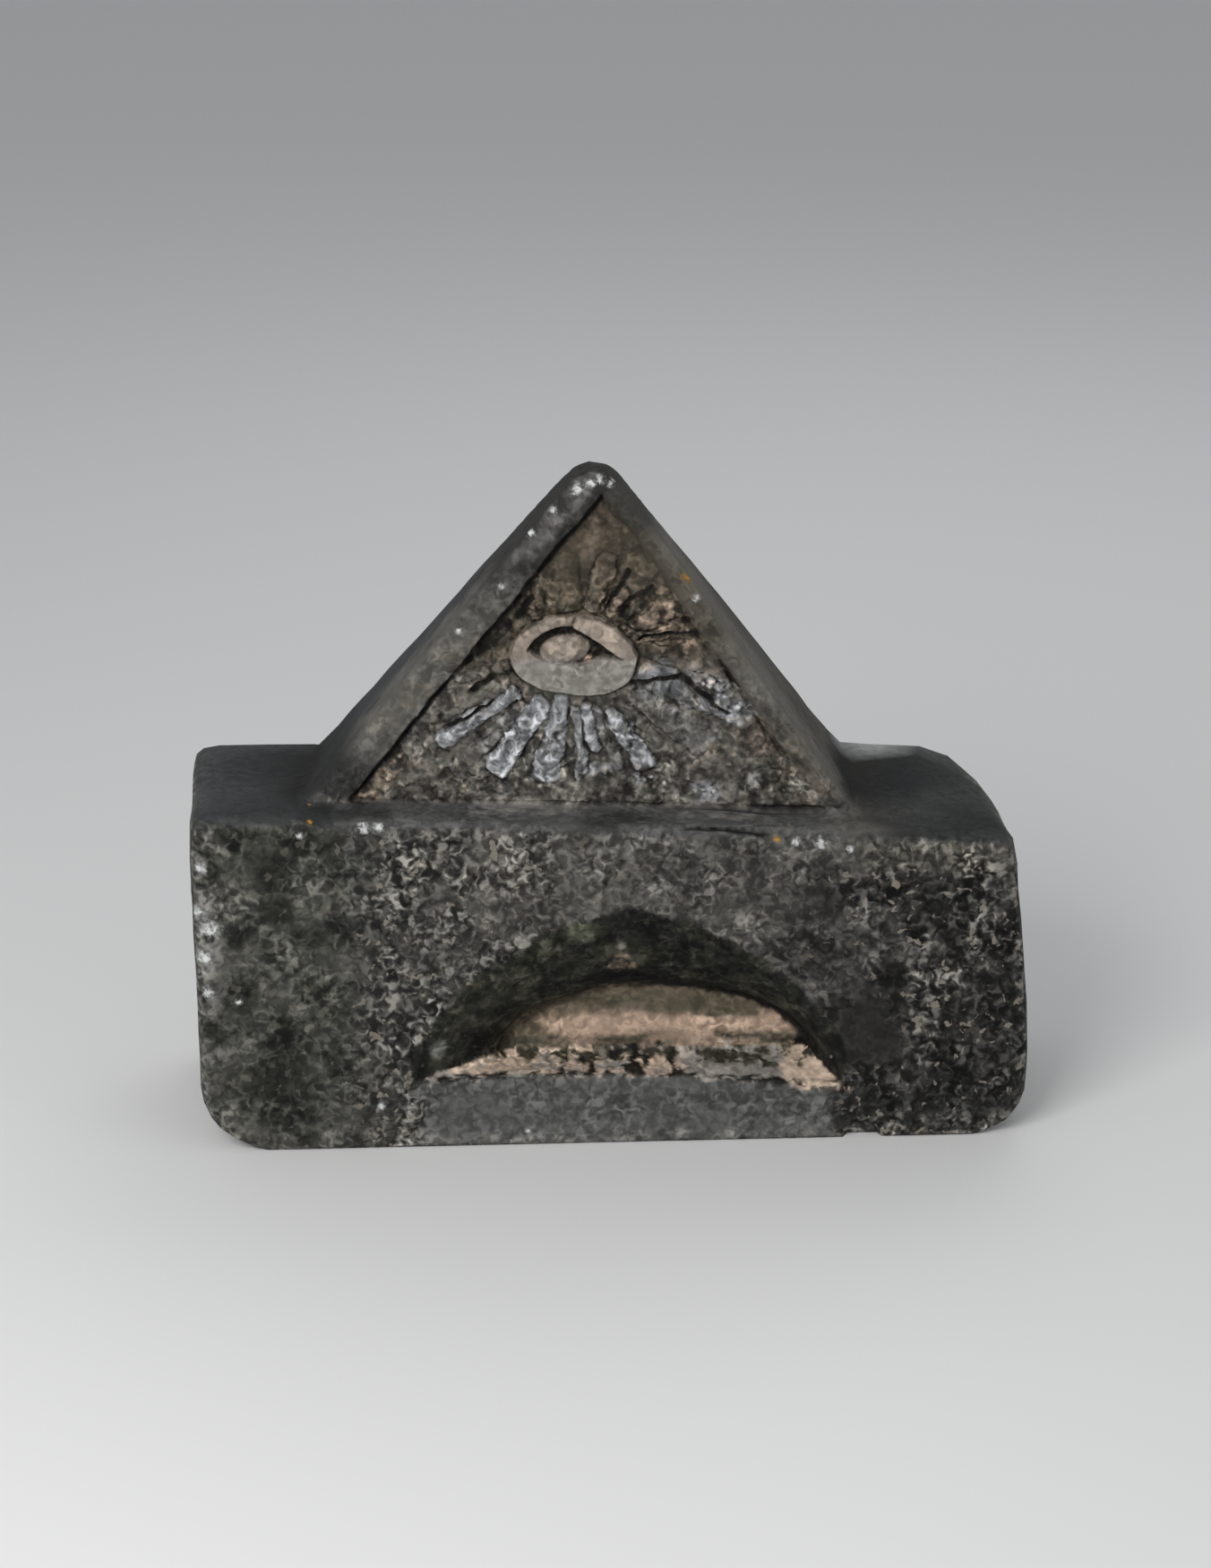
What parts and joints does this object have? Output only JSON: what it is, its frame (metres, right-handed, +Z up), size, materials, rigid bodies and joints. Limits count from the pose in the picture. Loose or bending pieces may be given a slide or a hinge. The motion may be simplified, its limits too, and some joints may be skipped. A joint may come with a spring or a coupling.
{
  "type": "pediment section",
  "caption": "Carved stone block with a triangular gable framing an eye in rays, and an arched blind niche below.",
  "frame": {"origin": "middle of the underside, on the plane it stands on", "axes": "+Z up, -Y out of the carved front, +X to the right as the front is faced"},
  "size_m": [0.6592, 0.205, 0.535],
  "materials": {
    "weathered_stone": "rough weathered stone with a dark grey crust, paler worn relief and a brown niche"
  },
  "bodies": {
    "root": {"pediment_stone": "weathered_stone"}
  },
  "joints": []
}
